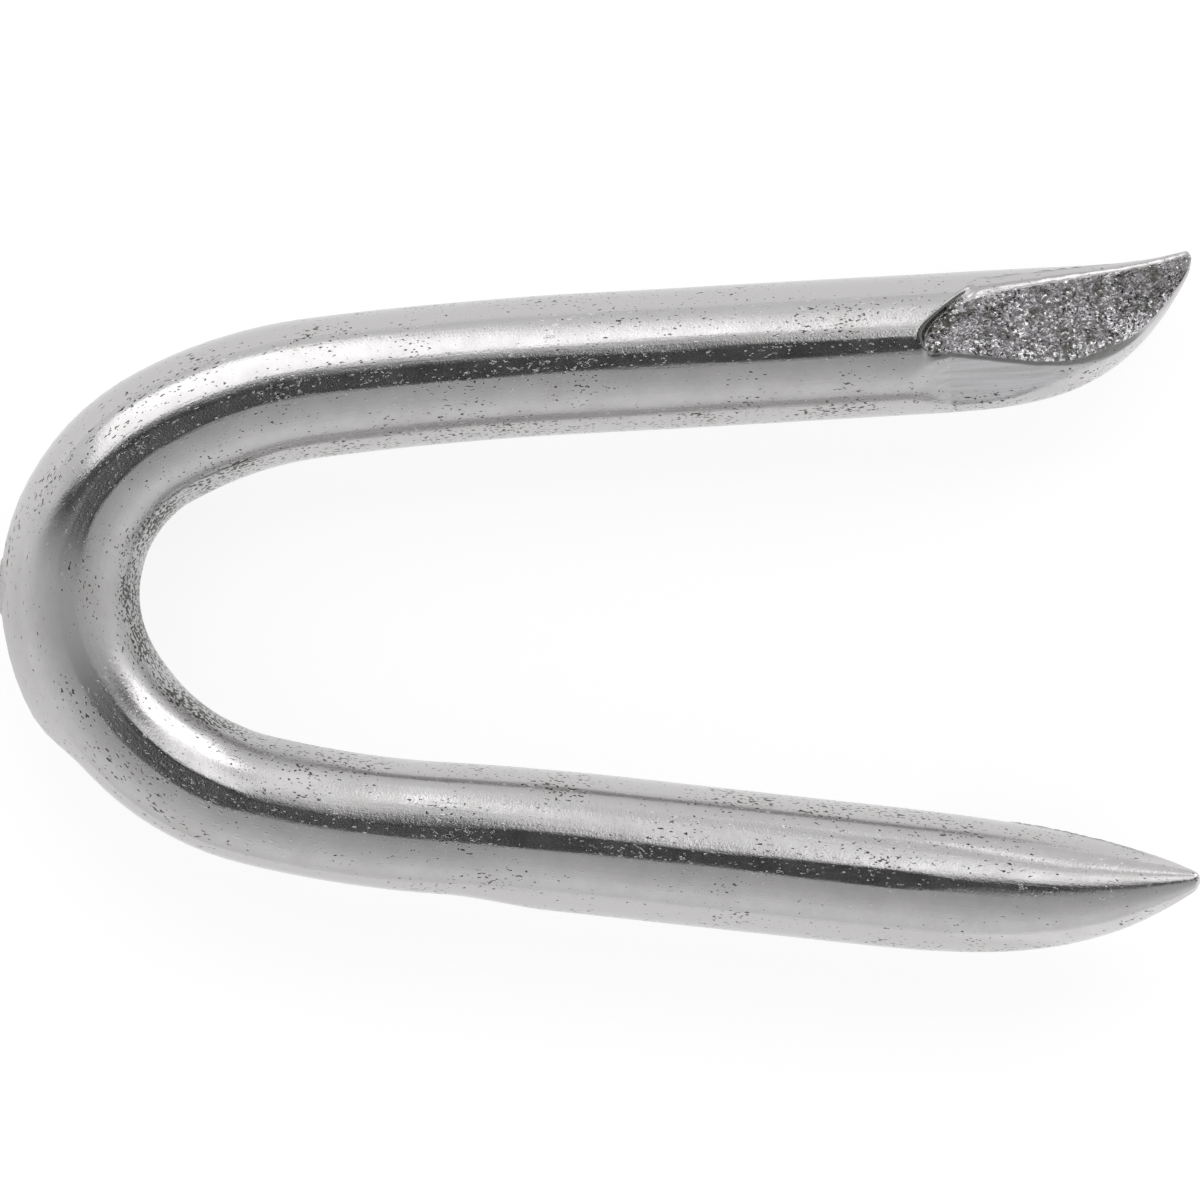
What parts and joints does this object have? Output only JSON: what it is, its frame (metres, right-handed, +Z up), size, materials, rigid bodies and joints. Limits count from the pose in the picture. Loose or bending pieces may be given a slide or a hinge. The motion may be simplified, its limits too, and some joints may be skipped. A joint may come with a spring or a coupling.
{
  "type": "fence staple",
  "caption": "U-shaped fence staple of thick galvanised wire with two sheared slash points; holds fence wire against a wooden post",
  "frame": {"origin": "on the floor under the middle of the outline, with the staple lying on its side", "axes": "+X runs from the crown to the points, midway between the legs; +Y is across, towards the leg whose shear face looks up; +Z is up"},
  "size_m": [0.0324, 0.019, 0.0038],
  "materials": {
    "galvanised_steel": "bright drawn steel wire under a thin zinc coat, granular where it was sheared"
  },
  "bodies": {
    "root": {"staple": "galvanised_steel"}
  },
  "joints": []
}
